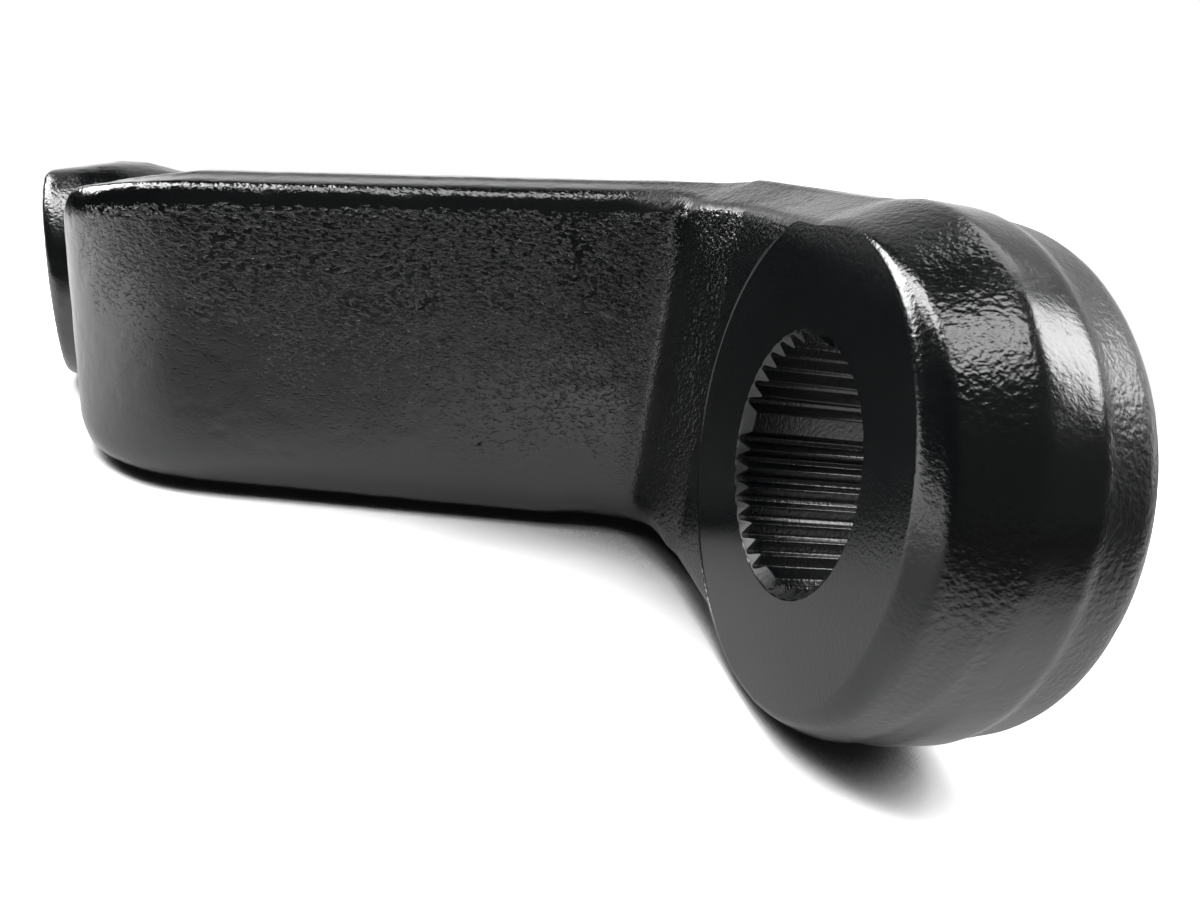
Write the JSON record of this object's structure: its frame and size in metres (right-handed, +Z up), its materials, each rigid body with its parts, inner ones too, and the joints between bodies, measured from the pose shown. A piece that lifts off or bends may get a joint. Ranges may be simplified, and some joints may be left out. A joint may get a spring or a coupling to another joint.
{
  "type": "pitman arm",
  "caption": "Cranked steering drop arm, forged in one piece and painted black, with a serrated eye at one end and a tapered stud hole in a tilted boss at the other.",
  "frame": {"origin": "centre of the eye's nut face, on the axis of the serrated bore", "axes": "+X is the reach from the eye to the small end, +Y runs along the bore out of the nut face and is the way the arm drops, +Z is up as the arm lies on its edge"},
  "size_m": [0.1799, 0.1501, 0.066],
  "materials": {
    "black_paint": "gloss"
  },
  "bodies": {
    "root": {"pitman_arm": "black_paint"}
  },
  "joints": []
}
